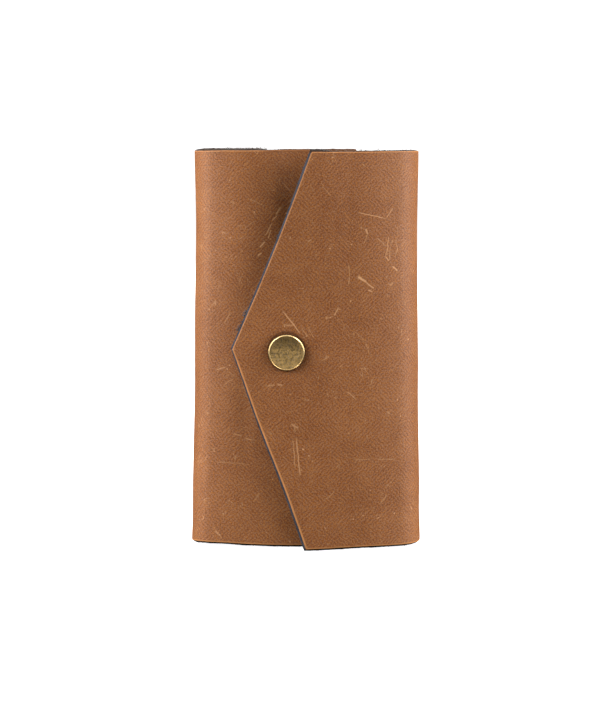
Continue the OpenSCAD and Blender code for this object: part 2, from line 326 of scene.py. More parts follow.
def ragged_cut(s, z, depth):
    """How far the ragged fibres stand out of a cut, at a depth in millimetres."""
    ragged = 0.05 * mm * noise.noise(Vector((s / (1.6 * mm), z / (1.6 * mm), depth * 2.1)))
    tuft = noise.noise(Vector((s / (0.9 * mm), z / (0.9 * mm), 3.1)))
    return (ragged + 0.2 * mm * max(0, tuft - 0.1)) * min(1, depth)


def fibre(side, root, out, length):
    """Three places along one bent fibre, from its root at a distance, height and depth, outward."""
    lean = random.uniform(-1.1, 1.1)
    size = random.uniform(0.35, 1.0) ** 1.5 * length
    way = [out[0] - lean * out[1], out[1] + lean * out[0], random.uniform(-0.45, 0.45)]
    bow = random.uniform(-0.5, 0.5) * size * 0.4
    middle = [root[n] + way[n] * size * 0.5 for n in range(3)]
    middle[0] -= out[1] * bow
    middle[1] += out[0] * bow
    tip = [root[n] + way[n] * size for n in range(3)]
    tip[2] = max(tip[2], 0.15 * mm)
    return [place(side, *point) for point in (root, middle, tip)]


GRAIN, CUT, FLESH = 0, 1, 2
# A cut's rim is rubbed pale. The rub reaches in further where its share here is smaller.
rub_start = 0.06 * mm
foot_rub = 0.55
head_rub = 2.2
hair_root = 0.08 * mm
floor_gap = 0.1 * mm
three_sides = (0, 2.1, 4.2)


def leather_piece(name, side, columns, open_end, hairs):
    """One piece of the sheet. columns gives the distances along a row, and open_end says that it ends
    free. hairs gives the cut's fibres, by outline: number in a millimetre, length, girth, paleness
    and where they are."""
    grid = [columns(z) for z in rows]
    wide = len(grid[0])
    high = len(rows)
    verts = []
    flat = []
    rim = []
    faces = []
    kinds = []

    def add(s, z, depth, edge):
        verts.append(place(side, s, z, depth))
        flat.append((side * s, z, depth))
        rim.append(edge)
        return len(verts) - 1

    def face(corners, kind):
        faces.append(corners if side == RIGHT else corners[::-1])
        kinds.append(kind)

    foot = [(i, 0) for i in range(wide)]
    end = [(wide - 1, j) for j in range(1, high)]
    head = [(i, high - 1) for i in reversed(range(wide - 1 if open_end else wide))]
    outlines = [foot + end + head] if open_end else [foot, head]
    at = {(i, j): (grid[j][i], rows[j]) for j in range(high) for i in range(wide)}
    offset = {}
    for outline in outlines:
        for k, spot in enumerate(outline):
            before = at[outline[k - 1]] if k else None
            after = at[outline[k + 1]] if k + 1 < len(outline) else None
            offset[spot] = mitre(before, at[spot], after)

    def reached(spot, reach):
        s, z = at[spot]
        if spot in offset:
            s += offset[spot][0] * reach
            z += offset[spot][1] * reach
        return s, z

    def cut_distance(spot):
        """How far a place is from the nearest cut, as the rubbed rim takes it."""
        s, z = at[spot]
        away = [(z - rows[0]) * foot_rub + rub_start, (rows[-1] - z) * head_rub + rub_start]
        if open_end:
            edge_rub = 0.92 - 0.44 * ramp(z, 57 * mm, 52 * mm)
            away.append((grid[rows.index(z)][-1] - s) * edge_rub)
        return min(away)

    grain = {}
    flesh = {}
    for spot in at:
        s, z = reached(spot, grain_rim - (head_slant(side, offset[spot], 0) if spot in offset else 0))
        grain[spot] = add(s, z, 0, cut_distance(spot))
    for spot in at:
        s, z = reached(spot, 0)
        flesh[spot] = add(s, z, leather_thick, cut_distance(spot))
    for j in range(high - 1):
        for i in range(wide - 1):
            for layer, kind in ((grain, GRAIN), (flesh, FLESH)):
                corners = [layer[i, j], layer[i + 1, j], layer[i + 1, j + 1], layer[i, j + 1]]
                face(corners[::-1] if kind == GRAIN else corners, kind)
    ends = {}
    for outline in outlines:
        rings = [[grain[spot] for spot in outline]]
        for depth, reach in cut_profile[:-1]:
            ring = []
            for spot in outline:
                lean = lean_share(side, *at[spot], offset[spot]) if reach > 0 else 1
                out = reach * lean * mm + ragged_cut(*at[spot], depth)
                s, z = reached(spot, out - head_slant(side, offset[spot], depth))
                ring.append(add(s, z, depth * mm, 0))
            rings.append(ring)
        rings.append([flesh[spot] for spot in outline])
        for level, (upper, lower) in enumerate(zip(rings, rings[1:])):
            for k in range(len(outline) - 1):
                face([upper[k], upper[k + 1], lower[k + 1], lower[k]], GRAIN if level < 2 else CUT)
        ends[outline[0]] = [ring[0] for ring in rings]
        ends[outline[-1]] = [ring[-1] for ring in rings]
    sharp = set()
    for i, first in ((0, True), (wide - 1, False)):
        if i and open_end:
            continue
        for j in range(high - 1):
            corners = [grain[i, j], grain[i, j + 1], flesh[i, j + 1], flesh[i, j]]
            face(corners if first else corners[::-1], FLESH)
            sharp.add(frozenset(corners[:2]))
            sharp.add(frozenset(corners[2:]))
        for j in (0, high - 1):
            cut_end = ends[i, j]
            face(cut_end[::-1] if first == (j == 0) else cut_end, FLESH)
            sharp.update(frozenset(pair) for pair in zip(cut_end, cut_end[1:]))

    def spike(points, root, girth, pale):
        """Adds one fibre as a bent spike of three sides."""
        points[0] -= (points[1] - points[0]) * 0.5
        thick = random.uniform(0.7, 1.3) * girth
        along = points[2] - points[0]
        across = along.cross(Vector((0.3, 1, 0.2))).normalized()
        other = across.cross(along).normalized()
        first = len(verts)
        for point, around in ((points[0], thick), (points[1], thick * 0.75)):
            for turn in three_sides:
                verts.append(point + (across * math.cos(turn) + other * math.sin(turn)) * around)
        verts.append(points[2])
        added = len(verts) - first
        flat.extend([(side * root[0], root[1], root[2] + thick)] * added)
        rim.extend([pale * mm] * added)
        for a, b in ((0, 1), (1, 2), (2, 0)):
            faces.append([first + a, first + b, first + 3 + b, first + 3 + a])
            faces.append([first + 3 + a, first + 3 + b, first + 6])
        faces.append([first + 2, first + 1, first])
        kinds.extend([CUT] * (len(faces) - len(kinds)))

    for outline, density, length, girth, pale, where in hairs(outlines):
        for spot, nxt in zip(outline, outline[1:]):
            if not where(walk(side, at[spot][0])[0] / mm, at[spot][1] / mm):
                continue
            gap = math.dist(at[spot], at[nxt]) / mm
            for _ in range(int(gap * density + random.random())):
                share = random.random()
                deep = random.uniform(0.5, 1.68)
                rooted = cut_reach(deep) * lean_share(side, *at[spot], offset[spot]) * mm - hair_root
                rooted -= head_slant(side, offset[spot], deep)
                s0, z0 = reached(spot, rooted)
                s1, z1 = reached(nxt, rooted)
                root = [s0 + (s1 - s0) * share, z0 + (z1 - z0) * share, deep * mm]
                points = fibre(side, root, offset[spot], length)
                if min(point.z for point in points) >= floor_gap:
                    spike(points, root, girth, pale)

    mesh = bpy.data.meshes.new(name)
    mesh.from_pydata([tuple(v) for v in verts], [], faces)
    mesh.polygons.foreach_set("material_index", kinds)
    mesh.polygons.foreach_set("use_smooth", [True] * len(faces))
    flat_places = mesh.attributes.new("flat", "FLOAT_VECTOR", "POINT")
    flat_places.data.foreach_set("vector", [c for f in flat for c in f])
    mesh.attributes.new("rim", "FLOAT", "POINT").data.foreach_set("value", rim)
    marks = mesh.attributes.new("sharp_edge", "BOOLEAN", "EDGE")
    marks.data.foreach_set("value", [frozenset(edge.vertices) in sharp for edge in mesh.edges])
    piece = bpy.data.objects.new(name, mesh)
    bpy.context.scene.collection.objects.link(piece)
    return piece


# The leather's finish
# Full-grain hide, dyed brown, oiled and waxed so that it marks easily: fine crossed grain,
# cloudy colour, pale rubbed lines where keys and nails have pulled the wax, and a paler rim.
class Wire:
    """A value in a material. Sums on it add Math nodes, and node adds any other node."""

    def __init__(self, tree, socket=None):
        self.tree = tree
        self.socket = socket

    def node(self, kind, settings=None, sockets=None, out=0):
        """A new node: its settings are set first, then its sockets are given values or links."""
        made = self.tree.nodes.new(kind)
        for name, value in (settings or {}).items():
            setattr(made, name, value)
        for name, value in (sockets or {}).items():
            if isinstance(value, Wire):
                self.tree.links.new(value.socket, made.inputs[name])
            else:
                made.inputs[name].default_value = value
        return Wire(self.tree, made.outputs[out])

    def maths(self, operation, first, second=0.0):
        """A Math node on one or two values."""
        return self.node("ShaderNodeMath", {"operation": operation}, {0: first, 1: second})

    def __add__(self, other):
        return self.maths("ADD", self, other)

    __radd__ = __add__

    def __sub__(self, other):
        return self.maths("SUBTRACT", self, other)

    def __rsub__(self, other):
        return self.maths("SUBTRACT", other, self)

    def __mul__(self, other):
        return self.maths("MULTIPLY", self, other)

    __rmul__ = __mul__

    def __abs__(self):
        return self.maths("ABSOLUTE", self)

    def most(self, other):
        return self.maths("MAXIMUM", self, other)

    def least(self, other):
        return self.maths("MINIMUM", self, other)

    def step(self, low, high):
        """A smooth step of this value from 0 at low to 1 at high, or the other way round."""
        return self.node(
            "ShaderNodeMapRange",
            {"interpolation_type": "SMOOTHSTEP", "clamp": True},
            {"Value": self, "From Min": low, "From Max": high, "To Min": 0.0, "To Max": 1.0},
        )

    def blend(self, first, second):
        """Two colours, mixed by this value. A Mix node keeps colours in sockets 6 and 7 and output 2."""
        return self.node("ShaderNodeMix", {"data_type": "RGBA"}, {0: self, 6: first, 7: second}, out=2)

    def parts(self):
        """The three numbers of this vector."""
        split = self.node("ShaderNodeSeparateXYZ", {}, {0: self}).socket.node
        return [Wire(self.tree, number) for number in split.outputs]

    def from_point(self, point):
        """The vector to this place from a point."""
        return self.node("ShaderNodeVectorMath", {"operation": "SUBTRACT"}, {0: self, 1: point})

    def size(self):
        """The length of this vector."""
        return self.node("ShaderNodeVectorMath", {"operation": "LENGTH"}, {0: self}, out="Value")

    def bump(self, strength, distance):
        """The normal that this height gives."""
        return self.node("ShaderNodeBump", {}, {"Strength": strength, "Distance": distance, "Height": self})

    def turned(self, angle, scale):
        """This vector, turned in the sheet's plane, with what is drawn over it stretched by scale."""
        return self.node(
            "ShaderNodeMapping",
            {"vector_type": "TEXTURE"},
            {"Vector": self, "Rotation": (0, 0, angle), "Scale": scale},
        )

    def ribs(self, angle, pitch):
        """Broken parallel ribs at an angle over this vector, a pitch apart."""
        return self.node(
            "ShaderNodeTexWave",
            {"wave_type": "BANDS", "bands_direction": "X", "wave_profile": "SIN"},
            {
                "Vector": self.turned(angle, (1, 1, 1)),
                "Scale": math.pi / (10 * pitch),
                "Distortion": 5.0,
                "Detail": 1.0,
                "Detail Scale": 2.2,
            },
            out="Fac",
        )

    def grain(self, size, detail=2.0, rough=0.5, warp=0.0):
        """Noise of that feature size, over this vector."""
        return self.node(
            "ShaderNodeTexNoise",
            {"noise_dimensions": "3D"},
            {"Vector": self, "Scale": 1 / size, "Detail": detail, "Roughness": rough, "Distortion": warp},
        )


def new_finish(name, metallic=0.0, ior=1.5):
    """A new material, a Wire that adds nodes to it, and its Principled shader."""
    material = bpy.data.materials.new(name)
    material.use_nodes = True
    tree = material.node_tree
    shader = tree.nodes["Principled BSDF"]
    shader.inputs["Metallic"].default_value = metallic
    shader.inputs["IOR"].default_value = ior
    return material, Wire(tree), shader


def put(shader, name, value):
    """Lets a value drive one socket of a shader."""
    value.tree.links.new(value.socket, shader.inputs[name])


def stored(wire, name, kind):
    """What the leather's mesh has stored at each point under that name."""
    return wire.node("ShaderNodeAttribute", {"attribute_name": name}, out=kind)


def rgb(red, green, blue):
    """A colour given as it looks on screen, from 0 to 255, as the linear light that the shader takes."""
    def linear(value):
        value = value / 255
        return value / 12.92 if value <= 0.04045 else ((value + 0.055) / 1.055) ** 2.4
    return (linear(red), linear(green), linear(blue), 1.0)


dark_dye = (rgb(122, 64, 23), rgb(110, 68, 43))
light_dye = (rgb(184, 116, 56), rgb(171, 121, 85))
pulled_pale = rgb(222, 169, 119)
lip_pale = rgb(206, 140, 84)
# Colours of painted shade: at the under flap's head, under the outer flap, and round the snap.
painted_shade_at_head = rgb(124, 74, 38)
painted_shade_under_flap = rgb(84, 46, 18)
painted_shade_round_snap = rgb(62, 34, 14)
hatch_pitch = 0.86 * mm
speck_gap = 3.4 * mm
wobble_size = 0.9 * mm


def pulled_wax(flat, mottle):
    """Scattered pale lines and specks, where the wax has been pulled up."""
    worn = None
    for size, angle, stretch, width, seldom in (
        (6 * mm, 0.9, 2.5, 0.008, 0.58),
        (4 * mm, -0.6, 2.2, 0.01, 0.6),
        (2.5 * mm, 1.5, 2.0, 0.012, 0.61),
    ):
        line = flat.turned(angle, (1, stretch, 1)).grain(size, 2.0, 0.5, 0.3)
        thin = abs(line - 0.5).step(width, width * 0.2)
        here = flat.turned(angle + 1, (1, 1, 1)).grain(5 * mm, 3.0, 0.6).step(seldom, seldom + 0.06)
        worn = thin * here if worn is None else worn.most(thin * here)
    dots = flat.node("ShaderNodeTexVoronoi", {}, {"Vector": flat, "Scale": 1 / speck_gap}, out="Distance")
    specks = dots.step(0.085, 0.04)
    return (worn * 0.4).most(specks * mottle.step(0.44, 0.56) * 0.75)


def wobbled(flat):
    """The flat sheet's places, shifted a little here and there so that a line over them wavers."""
    waves = {"Vector": flat, "Scale": 1 / (3 * mm), "Detail": 2.0}
    shifts = flat.node("ShaderNodeTexNoise", {}, waves, out="Color")
    wobble = flat.node("ShaderNodeVectorMath", {"operation": "SCALE"}, {0: shifts, "Scale": wobble_size})
    return flat.node("ShaderNodeVectorMath", {"operation": "ADD"}, {0: flat, 1: wobble})


def rubbed_line(bent, middle_x, middle_z, length, width, angle):
    """One rubbed line, which fades toward its sides and its ends."""
    middle = (middle_x + wobble_size / 2, middle_z + wobble_size / 2, 0)
    local = bent.node(
        "ShaderNodeMapping",
        {"vector_type": "TEXTURE"},
        {"Vector": bent, "Location": middle, "Rotation": (0, 0, angle)},
    )
    run, off, _ = local.parts()
    return abs(off).step(width, width * 0.2) * abs(run).step(length / 2, length * 0.3)


def waxed_grain(name, marks=(), snap=None, covered=None):
    """The grain side. marks are rubbed lines: middle, length and width in the flat sheet, angle and
    strength. snap is the middle of the snap there, round which a ring of painted shade goes. covered is
    where the outer flap's edge lies on this one, at its point and at its head: what it covers, and the
    head beside its upper corner, have painted shade."""
    material, wire, shader = new_finish(name, ior=1.4)
    shader.inputs["Specular IOR Level"].default_value = 0.42
    flat = stored(wire, "flat", "Vector")
    rim = stored(wire, "rim", "Fac")
    cloud = flat.grain(26 * mm, 3.0, 0.55)
    mottle = flat.grain(5.0 * mm, 5.0, 0.65)
    rising = flat.ribs(math.radians(45), hatch_pitch)
    falling = flat.ribs(math.radians(-45), hatch_pitch)
    way = flat.grain(6 * mm, 1.0, 0.5).step(0.35, 0.65)
    hatch = rising * way + falling * (1 - way)
    pores = flat.grain(0.4 * mm, 1.0, 0.6)
    fine = flat.grain(0.2 * mm, 1.0, 0.6)
    hue = flat.grain(0.5 * mm, 1.0, 0.6).step(0.3, 0.7)
    tone = (cloud - 0.5) * 0.4 + (mottle - 0.5) * 0.45 + (hatch - 0.5) * 0.33
    tone = tone + (pores - 0.5) * 1.32 + (fine - 0.5) * 1.44 + 0.5
    worn = pulled_wax(flat, mottle)
    bent = wobbled(flat)
    for *line, strength in marks:
        worn = worn.most(rubbed_line(bent, *line) * strength * (mottle * 0.8 + 0.6))
    dark = hue.blend(*dark_dye)
    light = hue.blend(*light_dye)
    colour = tone.step(0.0, 1.0).blend(dark, light)
    rubbed = worn.least(1.0)
    colour = (rubbed * 0.95).blend(colour, pulled_pale)
    lip = rim.step(0.34 * mm, 0.1 * mm)
    along, up_sheet, _ = flat.parts()
    low = up_sheet.step(57 * mm, 50 * mm)
    top = up_sheet.step(105 * mm, 107 * mm)
    colour = (lip * (mottle * 0.5 + 0.16 + low * 0.52 + top * 0.2)).blend(colour, lip_pale)
    if covered:
        at_point, at_head = covered
        slope = (at_head - at_point) / (body_height - flap_point_z)
        inside = along * -1.0 - abs(up_sheet - flap_point_z) * slope - at_point
        # A painted shade: the under flap's head strip, beside and under the outer flap's upper corner, is
        # painted darker.
        head = up_sheet.step(106.9 * mm, 107.4 * mm) * inside.step(-16 * mm, -13 * mm)
        colour = (head * 0.55).blend(colour, painted_shade_at_head)
        # A painted shade: what the outer flap covers is painted darker.
        colour = (inside.step(0.3 * mm, 4 * mm) * 0.6).blend(colour, painted_shade_under_flap)
    if snap:
        # A painted shade: a dark ring on the leather round the snap cap.
        ring = flat.from_point(snap).size().step(5.45 * mm, 5.1 * mm)
        colour = (ring * 0.6).blend(colour, painted_shade_round_snap)
    put(shader, "Base Color", colour)
    put(shader, "Roughness", (mottle - 0.5) * 0.2 + 0.56 + rubbed * 0.12 - (hatch - 0.5) * 0.08)
    put(shader, "Normal", (hatch * 0.25 + pores * 0.7 + mottle * 0.25).bump(0.5, 0.07 * mm))
    return material


def cut_finish(name):
    """The raw cut edge: slate-grey fibres of the hide's core, pressed by the knife, with painted shade
    along the head. What the mesh stores as rim says how pale a brushed-up fibre is."""
    material, wire, shader = new_finish(name)
    flat = stored(wire, "flat", "Vector")
    fibres = flat.turned(0.0, (1, 1, 3)).grain(0.35 * mm, 4.0, 0.65)
    patches = flat.grain(3.5 * mm, 3.0, 0.6)
    dark_slate, light_slate = rgb(20, 21, 25), rgb(74, 75, 84)
    cut_head_painted_shade, loose_pale = rgb(52, 33, 18), rgb(176, 170, 168)
    colour = (fibres * 0.8 + patches * 0.5 - 0.15).step(0.1, 0.9).blend(dark_slate, light_slate)
    # A painted shade: the cut along the head is painted darker and browner.
    head = flat.parts()[1].step(body_height - 0.9 * mm, body_height - 0.3 * mm)
    colour = (head * 0.85).blend(colour, cut_head_painted_shade)
    paleness = stored(wire, "rim", "Fac") * (1 / mm)
    colour = paleness.blend(colour, loose_pale)
    put(shader, "Base Color", colour)
    put(shader, "Roughness", fibres * 0.15 + 0.8)
    shader.inputs["Specular IOR Level"].default_value = 0.2
    put(shader, "Normal", fibres.bump(0.8, 0.1 * mm))
    return material


def flesh_finish(name):
    """The flesh side: short dark nap, with the hide's looser fibres lying all ways."""
    material, wire, shader = new_finish(name)
    flat = stored(wire, "flat", "Vector")
    nap = flat.turned(0.4, (1, 0.35, 1)).grain(0.3 * mm, 4.0, 0.7, 0.6)
    second = flat.turned(-0.9, (1, 0.3, 1)).grain(0.25 * mm, 3.0, 0.7, 0.6)
    brushed = flat.grain(9 * mm, 4.0, 0.6)
    tone = nap * 0.5 + second * 0.4 + brushed * 0.5 - 0.2
    dark_nap, light_nap = rgb(48, 38, 32), rgb(104, 84, 70)
    put(shader, "Base Color", tone.step(0.2, 0.8).blend(dark_nap, light_nap))
    put(shader, "Roughness", nap * 0.1 + 0.87)
    shader.inputs["Sheen Weight"].default_value = 0.25
    shader.inputs["Sheen Roughness"].default_value = 0.6
    put(shader, "Normal", (nap + second).bump(0.7, 0.15 * mm))
    return material


leather_cut = cut_finish("leather_cut_edge")
leather_flesh = flesh_finish("leather_flesh_side")
leather_plain = waxed_grain("leather_grain")


def on_line(side, s):
    """A point on the line that runs up the sheet at a distance."""
    x, y, _ = walk(side, s)
    return (x, y, 0)


def dress(piece, grain, replaced, body=None, bodies=None, span=None):
    """Gives a leather piece its three finishes, and ties it to its body, or else bakes its place into its
    mesh.
    """
    for material in (grain, leather_cut, leather_flesh):
        piece.data.materials.append(material)
    if body:
        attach(piece, body)
    else:
        side, start, end = span
        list(bodies)
        on_line(side, start)
        on_line(side, end)
        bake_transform(piece)
    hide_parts(*replaced)


# Back panel
# The flat middle of the sheet, behind the keys. It carries the key rail on two rivets, and it
# goes on into both folds.
random.seed(4)


def straight_columns(start, end):
    """The same columns in every row."""
    steps = seam_steps(start, end)
    return lambda z: steps


def anywhere(x, z):
    return True


def short_nap(outlines):
    """The short dark fibres of any cut."""
    return [(outline, 1.2, 0.45 * mm, 0.035 * mm, 0, anywhere) for outline in outlines]


def back_hairs(outlines):
    """Short fibres all round, and longer ones where the head stands up beside the left fold."""
    return short_nap(outlines) + [
        (outlines[1], 5.0, 1.0 * mm, 0.06 * mm, 0.15, lambda x, z: z > 105 and x < -10.5),
    ]


back_columns = straight_columns(-fold_line(LEFT, 0), fold_line(RIGHT, 0))
back = leather_piece("back_panel_leather", RIGHT, back_columns, False, back_hairs)
dress(back, leather_plain, ["back_panel"], body="back")

# Folds
# The sheet rounds over at both sides in one easy bend. Each bend is made of three strips of
# 40 degrees, each a piece of its own.
strip_turn = 40
last_seam = 3 * strip_turn
for side, word in ((RIGHT, "right"), (LEFT, "left")):
    chain = ["back"] + [f"{word}_fold_{part}" for part in ("rear", "middle", "front")]
    for number, strip in enumerate(chain[1:]):
        start = fold_line(side, strip_turn * number)
        end = fold_line(side, strip_turn * (number + 1))
        piece = leather_piece(f"{strip}_leather", side, straight_columns(start, end), False, short_nap)
        dress(piece, leather_plain, [strip], bodies=chain[number:number + 2], span=(side, start, end))

# Front flap
# The outer flap, cut to a shallow point that the snap holds down. Its raw edge leans out under
# the grain, and its upper corner has lifted with use.
flap_point_x = flap_low.x + 0.85 * mm
flap_head_x = 2.6 * mm
flap_foot_x = -0.4 * mm


def flap_edge(z):
    """The x of the flap's free edge at a height. It was cut a little off straight beside its point."""
    if z < flap_point_z:
        bow = through([(0, 0.6 * mm), (14 * mm, 0.87 * mm), (40 * mm, 0), (flap_point_z, 0)], z)
        return flap_foot_x + (flap_point_x - flap_foot_x) * z / flap_point_z + bow
    bow = 1.35 * mm * max(0, (z - 70 * mm) / (body_height - 70 * mm)) ** 2
    share = (z - flap_point_z) / (body_height - flap_point_z)
    return flap_point_x + (flap_head_x - flap_point_x) * share - bow


def flap_columns(side, edge):
    """Columns from the fold's last seam to a free edge, close together beside the seam and the edge."""
    start = fold_line(side, last_seam)
    settled = flap_start(side) + 2 * mm
    fixed = [start] + [start + near for near in seam_near]
    fixed += spaced(start + past_seam, settled, column_gap)
    rim_near = [2.4 * mm] + [step * mm for step in reversed(rim_steps)] + [0]
    free_columns = 60

    def columns(z):
        end = distance_of(side, edge(z))
        free = spaced(settled, end - rim_near[0], (end - rim_near[0] - settled) / free_columns)
        return fixed + free + [end - near for near in rim_near]

    return columns


def tufts(*spans):
    """Only between these heights, in millimetres."""
    return lambda x, z: any(low < z < high for low, high in spans)


def front_hairs(outlines):
    """Fibres of the cut: dark and sparse all round, and pale ones brushed up along the head's corner."""
    cut = outlines[0]
    return [
        (cut, 1.0, 0.5 * mm, 0.035 * mm, 0, anywhere),
        (cut, 0.12, 1.3 * mm, 0.035 * mm, 0, anywhere),
        (cut, 3.0, 0.45 * mm, 0.04 * mm, 0.7, lambda x, z: z > 105 and 1.9 < x < 10.8),
        (cut, 0.9, 1.1 * mm, 0.08 * mm, 0, lambda x, z: z > 105 and x > 13.5),
        (cut, 14, 1.3 * mm, 0.1 * mm, 0.2, tufts((59.2, 60.2), (61.4, 62.0), (63.2, 64.6))),
        (cut, 10, 1.0 * mm, 0.09 * mm, 0.1, tufts((84, 84.6), (99, 99.5), (102.5, 103))),
    ]


def under_hairs(outlines):
    """Fibres of the cut: sparse all round, and thick along the head beside the left fold."""
    cut = outlines[0]
    return [
        (cut, 1.0, 0.5 * mm, 0.035 * mm, 0, anywhere),
        (cut, 0.12, 1.3 * mm, 0.035 * mm, 0, anywhere),
        (cut, 4.5, 1.15 * mm, 0.06 * mm, 0.1, lambda x, z: z > 105 and x < -11.6),
        (cut, 1.4, 0.9 * mm, 0.04 * mm, 0.5, lambda x, z: z > 105 and -11.6 < x < 1),
    ]


def mark(side, x0, z0, x1, z1, width, strength):
    """A rubbed line between two places on a flap, given by the x and z that they show at, and its width,
    in millimetres."""
    a = side * distance_of(side, x0 * mm)
    b = side * distance_of(side, x1 * mm)
    run, rise = b - a, (z1 - z0) * mm
    length = math.hypot(run, rise)
    return (a + b) / 2, (z0 + z1) / 2 * mm, length * 1.1, width * mm, math.atan2(rise, run), strength


# Each rubbed line is given by the x and z of its two ends, its width and its strength.
front_lines = [
    (13.6, 91.4, 21.7, 89.7, 0.17, 0.75),
    (21.7, 89.7, 23.6, 92.7, 0.17, 0.7),
    (22.4, 84.8, 22.2, 80.6, 0.2, 0.6),
    (22.3, 82.6, 21.6, 79.4, 0.16, 0.55),
    (21.6, 79.6, 22.6, 78.2, 0.2, 0.75),
    (23.0, 82.0, 22.7, 78.4, 0.16, 0.5),
    (24.6, 84.2, 27.0, 80.4, 0.16, 0.4),
    (24.2, 79.2, 27.2, 81.6, 0.18, 0.35),
    (25.6, 87.8, 26.8, 84.8, 0.16, 0.3),
    (-1.4, 60.6, 0.6, 58.4, 0.2, 0.4),
    (0.2, 61.0, 2.2, 58.0, 0.18, 0.35),
    (-20.15, 54.9, -19.7, 54.6, 0.25, 1.0),
    (13.9, 74.3, 16.4, 72.7, 0.5, 0.8),
    (16.0, 72.9, 18.5, 70.9, 0.32, 0.7),
    (16.8, 70.6, 17.9, 70.1, 0.25, 0.7),
    (16.0, 87.2, 16.7, 85.6, 0.4, 0.55),
    (16.6, 85.8, 15.7, 83.0, 0.2, 0.4),
    (11.3, 77.9, 11.8, 74.4, 0.25, 0.35),
    (11.8, 74.8, 11.6, 72.0, 0.25, 0.4),
    (19.0, 84.7, 21.8, 82.2, 0.2, 0.4),
    (23.4, 76.9, 25.0, 75.4, 0.3, 0.75),
    (-6.3, 65.3, -1.7, 59.0, 0.26, 0.75),
    (7.5, 63.9, 8.8, 66.2, 0.28, 0.6),
    (8.3, 65.9, 9.3, 65.4, 0.2, 0.45),
    (-6.3, 61.5, -3.6, 61.3, 0.35, 0.35),
    (-10.9, 45.2, -8.6, 45.4, 0.35, 0.4),
    (-8.0, 45.5, -6.6, 45.5, 0.35, 0.5),
    (-4.3, 34.9, -1.9, 33.6, 0.35, 0.55),
    (-3.1, 35.0, -3.0, 32.7, 0.3, 0.45),
    (-2.7, 31.3, -1.6, 20.2, 0.24, 0.65),
    (-3.7, 31.0, -2.9, 23.0, 0.2, 0.5),
    (-1.0, 28.0, -0.5, 27.8, 0.3, 0.9),
    (12.8, 24.5, 17.8, 24.4, 0.2, 0.3),
    (19.0, 24.4, 24.0, 24.3, 0.2, 0.35),
    (10.6, 43.2, 13.6, 41.2, 0.24, 0.5),
    (12.8, 59.7, 16.0, 56.6, 0.16, 0.3),
    (15.8, 56.9, 17.6, 52.0, 0.16, 0.3),
    (5.2, 14.0, 7.9, 16.2, 0.2, 0.3),
    (19.8, 12.0, 21.8, 14.6, 0.3, 0.3),
    (4.2, 98.5, 6.4, 95.9, 0.2, 0.25),
]
front_marks = [mark(RIGHT, *line) for line in front_lines]
snap_place = (distance_of(RIGHT, snap_x), snap_z, 0)
front_grain = waxed_grain("front_flap_grain", front_marks, snap=snap_place)
front = leather_piece("front_flap_leather", RIGHT, flap_columns(RIGHT, flap_edge), True, front_hairs)
dress(front, front_grain, ["front_flap"], bodies=["right_fold_front", "front_flap"],
      span=(RIGHT, fold_line(RIGHT, last_seam), flap_start(RIGHT)))

# Under flap
# The inner flap, which carries the snap's stud and ends behind the outer flap. It is cut straight,
# and use has drawn out and hollowed its upper corner.
under_edge_x = under_high.x - cut_lean
under_lines = [
    (-24.9, 48.1, -22.0, 49.2, 0.25, 0.45),
    (-19.9, 30.9, -17.4, 30.5, 0.24, 0.45),
    (-16.6, 30.0, -14.2, 29.3, 0.24, 0.45),
    (-24.5, 22.9, -16.0, 22.8, 0.2, 0.3),
    (-16.0, 94.9, -11.5, 92.7, 0.18, 0.3),
    (-8.6, 90.2, -6.4, 93.3, 0.2, 0.3),
    (-6.6, 99.1, -4.0, 96.4, 0.18, 0.3),
    (-22.4, 61.0, -20.6, 64.2, 0.24, 0.35),
    (-8.6, 90.6, -7.2, 92.6, 0.24, 0.8),
    (-9.6, 89.0, -8.0, 90.4, 0.24, 0.7),
    (-11.6, 84.8, -9.4, 88.4, 0.24, 0.7),
    (-10.8, 84.0, -9.8, 86.6, 0.24, 0.7),
    (-13.0, 81.8, -11.4, 83.2, 0.26, 0.8),
    (-13.6, 79.6, -12.4, 80.2, 0.28, 0.8),
    (-18.6, 72.0, -17.4, 75.0, 0.2, 0.3),
    (-14.0, 12.2, -12.4, 15.0, 0.24, 0.3),
    (-5.9, 90.9, -5.5, 90.7, 0.3, 1.0),
]
under_covered = (distance_of(LEFT, flap_point_x), distance_of(LEFT, flap_head_x))


def under_edge(z):
    """The x of the under flap's free edge at a height. Its upper corner is drawn out."""
    return under_edge_x + 1.35 * mm * ramp(z, 50 * mm, body_height)


under_marks = [mark(LEFT, *line) for line in under_lines]
under_grain = waxed_grain("under_flap_grain", under_marks, covered=under_covered)
under = leather_piece("under_flap_leather", LEFT, flap_columns(LEFT, under_edge), True, under_hairs)
dress(under, under_grain, ["under_flap"], bodies=["left_fold_front", "under_flap"],
      span=(LEFT, fold_line(LEFT, last_seam), flap_start(LEFT)))

# Snap
# A ring snap in antiqued brass. The cap is drawn from sheet with a rolled rim and a shallow
# dish, and its post is clenched through the flap into the socket behind. The stud that the
# socket snaps over stands on the under flap, clenched on a post of its own.
tarnish_tones = (rgb(96, 84, 66), rgb(176, 152, 118))
rim_bright = rgb(234, 200, 140)
crevice_painted_shade = rgb(44, 30, 18)


